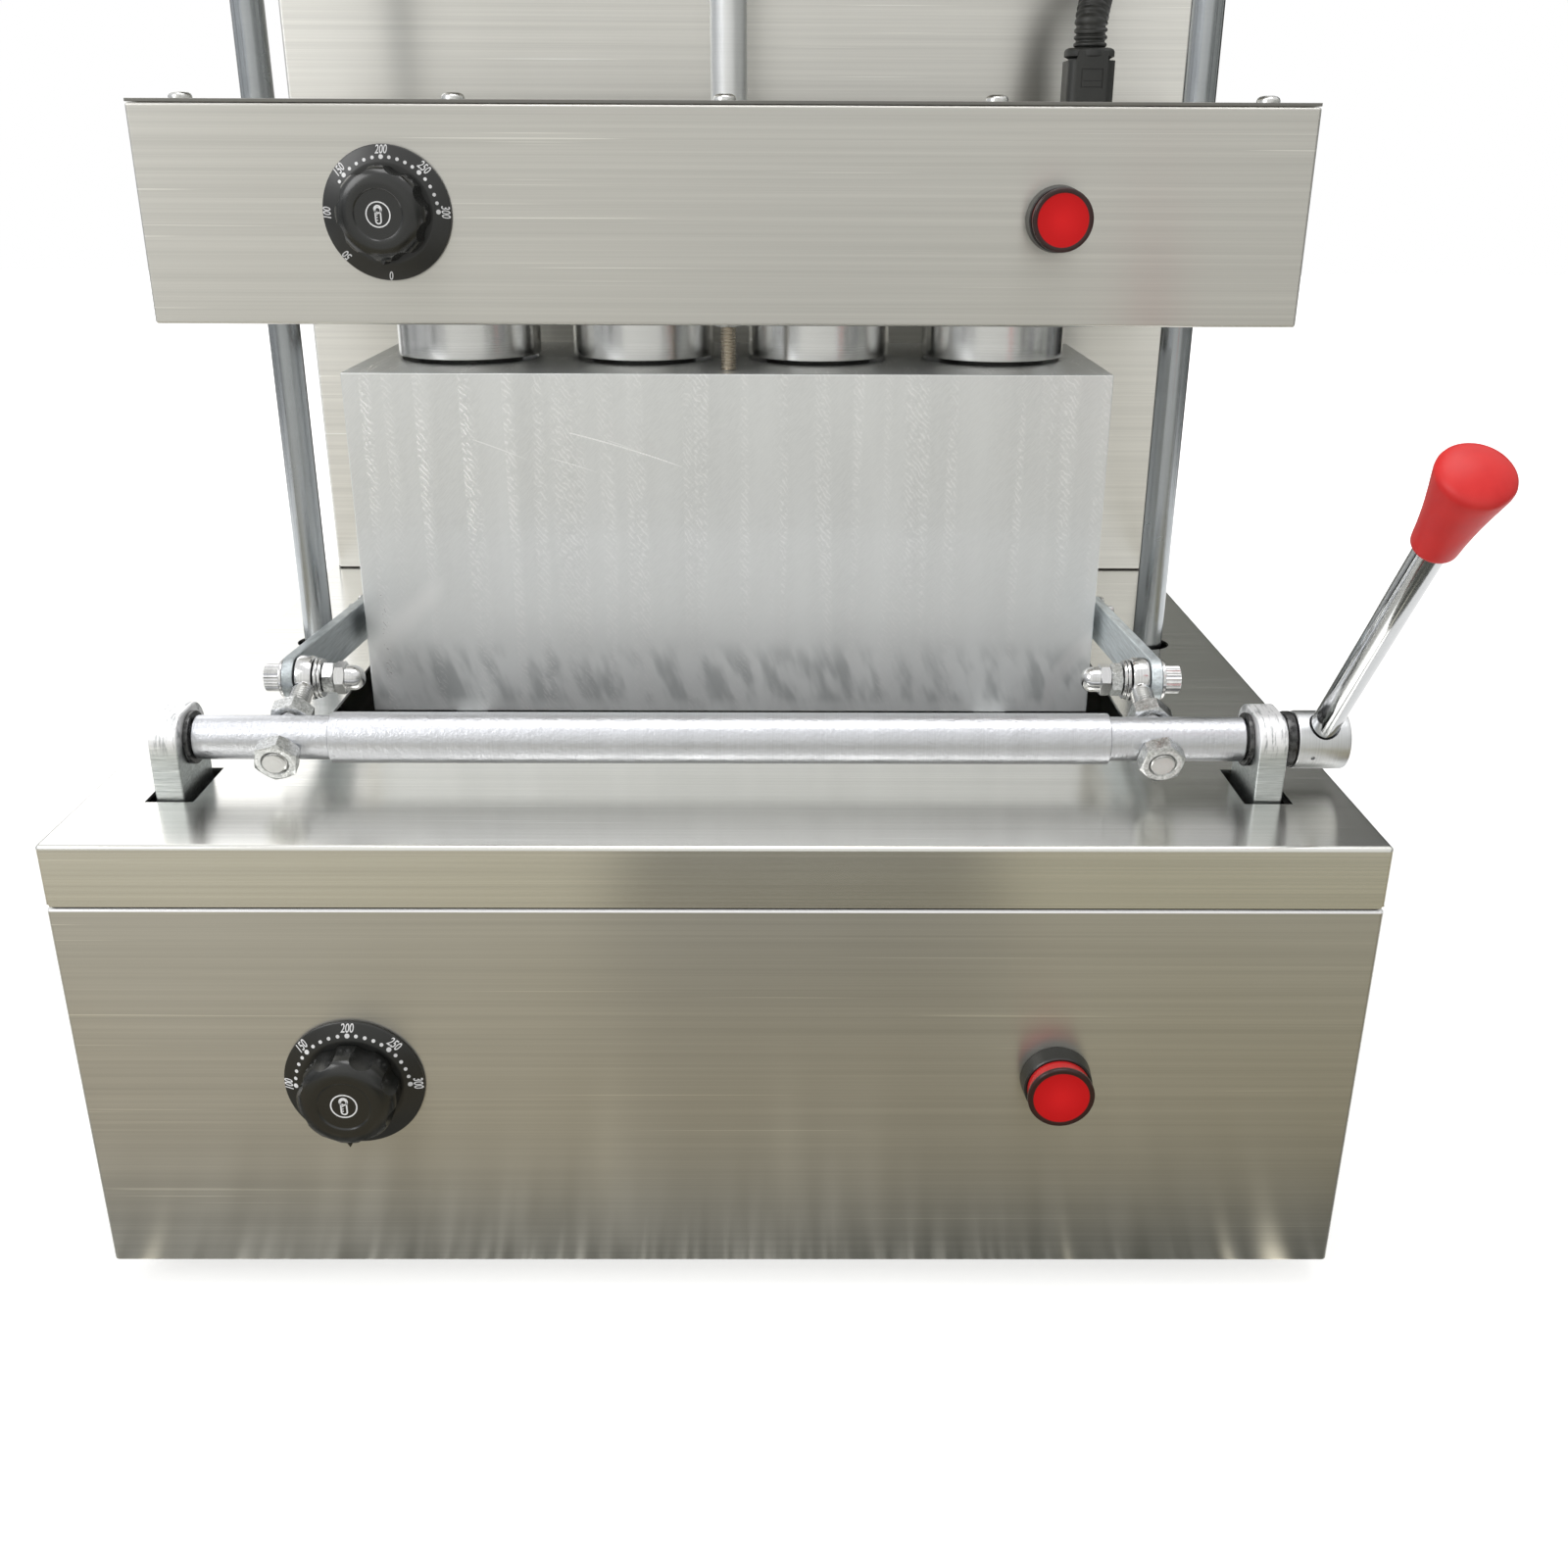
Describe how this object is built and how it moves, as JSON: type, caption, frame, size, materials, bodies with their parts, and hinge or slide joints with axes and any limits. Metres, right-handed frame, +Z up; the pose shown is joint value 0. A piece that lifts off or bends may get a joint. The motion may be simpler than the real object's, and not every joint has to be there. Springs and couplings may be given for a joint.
{
  "type": "pizza cone machine",
  "caption": "Countertop press that bakes pizza cones between a heated sliding head with cone moulds and a split mould block opened by a side lever.",
  "frame": {"origin": "middle of the footprint, on the surface that the feet stand on", "axes": "+Z up, -Y towards the operator, +X to the operator's right"},
  "size_m": [0.54, 0.6241, 0.8986],
  "materials": {
    "brushed_steel": "horizontally brushed stainless sheet",
    "milled_aluminium": "milled faces with swirled tool marks",
    "turned_aluminium": "fine turned and polished",
    "chrome": "hard chrome, polished",
    "zinc_plate": "bright zinc plate over turned and filed steel",
    "painted_frame": "grey paint on welded steel",
    "black_rubber": "matt moulded rubber",
    "black_plastic": "satin moulded plastic",
    "hose_nylon": "ribbed nylon conduit",
    "red_knob": "satin red moulded knob",
    "red_lens": "clear red lens",
    "green_button": "green push button",
    "red_button": "red push button",
    "bronze": "sintered bronze",
    "heater_sheath": "oxidised heater sheath"
  },
  "bodies": {
    "base": {"base_shell": "brushed_steel", "base_pan": "brushed_steel", "base_lid": "brushed_steel", "foot_front_left": "black_rubber", "foot_front_right": "black_rubber", "foot_rear_left": "black_rubber", "foot_rear_right": "black_rubber", "main_frame": "painted_frame", "rear_mould": "milled_aluminium", "rear_heater": "heater_sheath", "shaft_post_left": "zinc_plate", "shaft_post_right": "zinc_plate", "guide_rod_left": "chrome", "guide_rod_right": "chrome", "column_shell": "brushed_steel", "column_rear_cover": "brushed_steel", "top_housing": "brushed_steel", "top_cover": "brushed_steel", "bridge_plate": "painted_frame", "actuator": "black_plastic", "control_plate": "black_plastic", "base_thermostat": "black_plastic", "base_lamp_body": "black_plastic", "base_lamp_lens": "red_lens", "mains_gland": "black_plastic", "column_hose_fitting": "black_plastic", "conduit_hose": "hose_nylon"},
    "press_head": {"head_shell": "brushed_steel", "head_cover": "brushed_steel", "head_heater_plate": "milled_aluminium", "cone_mould_1": "turned_aluminium", "cone_mould_2": "turned_aluminium", "cone_mould_3": "turned_aluminium", "cone_mould_4": "turned_aluminium", "stop_stud": "zinc_plate", "actuator_rod": "chrome", "guide_bush_left": "bronze", "guide_bush_right": "bronze", "head_thermostat": "black_plastic", "head_lamp_body": "black_plastic", "head_lamp_lens": "red_lens", "head_hose_fitting": "black_plastic"},
    "front_mould": {"front_mould": "milled_aluminium", "front_heater": "heater_sheath", "link_bolt_left": "zinc_plate", "link_bolt_right": "zinc_plate"},
    "lever_shaft": {"cross_shaft": "zinc_plate", "lever_boss": "zinc_plate", "lever_rod": "chrome", "lever_knob": "red_knob", "eyebolt_left": "zinc_plate", "eyebolt_right": "zinc_plate", "eye_pin_left": "chrome", "eye_pin_right": "chrome"},
    "link_left": {"link_left": "zinc_plate"},
    "link_right": {"link_right": "zinc_plate"},
    "base_knob": {"base_knob": "black_plastic"},
    "head_knob": {"head_knob": "black_plastic"},
    "raise_button": {"raise_button": "green_button"},
    "lower_button": {"lower_button": "red_button"}
  },
  "joints": [
    {"name": "head_lift", "type": "slide", "parent": "base", "child": "press_head", "axis": [0, 0, 1], "range_m": [0, 0.135], "deforming": ["conduit_hose"]},
    {"name": "lever_turn", "type": "hinge", "parent": "base", "child": "lever_shaft", "pos_m": [0, -0.1901, 0.2385], "axis": [1, 0, 0], "range_deg": [0, 52]},
    {"name": "front_mould_slide", "type": "slide", "parent": "base", "child": "front_mould", "axis": [0, -1, 0], "range_m": [0, 0.0287]},
    {"name": "link_left_pivot", "type": "hinge", "parent": "lever_shaft", "child": "link_left", "pos_m": [-0.1907, -0.1492, 0.25179], "axis": [1, 0, 0], "range_deg": [-64.5, 0]},
    {"name": "link_right_pivot", "type": "hinge", "parent": "lever_shaft", "child": "link_right", "pos_m": [0.1907, -0.1492, 0.25179], "axis": [1, 0, 0], "range_deg": [-64.5, 0]},
    {"name": "base_knob_turn", "type": "hinge", "parent": "base", "child": "base_knob", "pos_m": [-0.1535, -0.259, 0.108], "axis": [0, 1, 0], "range_deg": [0, 275]},
    {"name": "head_knob_turn", "type": "hinge", "parent": "press_head", "child": "head_knob", "pos_m": [-0.155, -0.059, 0.4448], "axis": [0, 1, 0], "range_deg": [0, 275]},
    {"name": "raise_button_press", "type": "slide", "parent": "base", "child": "raise_button", "axis": [0, 1, 0], "range_m": [0, 0.003], "stiffness_N_per_m": 300, "springref_m": -0.003},
    {"name": "lower_button_press", "type": "slide", "parent": "base", "child": "lower_button", "axis": [0, 1, 0], "range_m": [0, 0.003], "stiffness_N_per_m": 300, "springref_m": -0.003}
  ],
  "couplings": [
    {"joint": "front_mould_slide", "follows": "lever_turn", "m_per_rad": 0.03136},
    {"joint": "link_left_pivot", "follows": "lever_turn", "ratio": -1.2364},
    {"joint": "link_right_pivot", "follows": "lever_turn", "ratio": -1.2364}
  ]
}
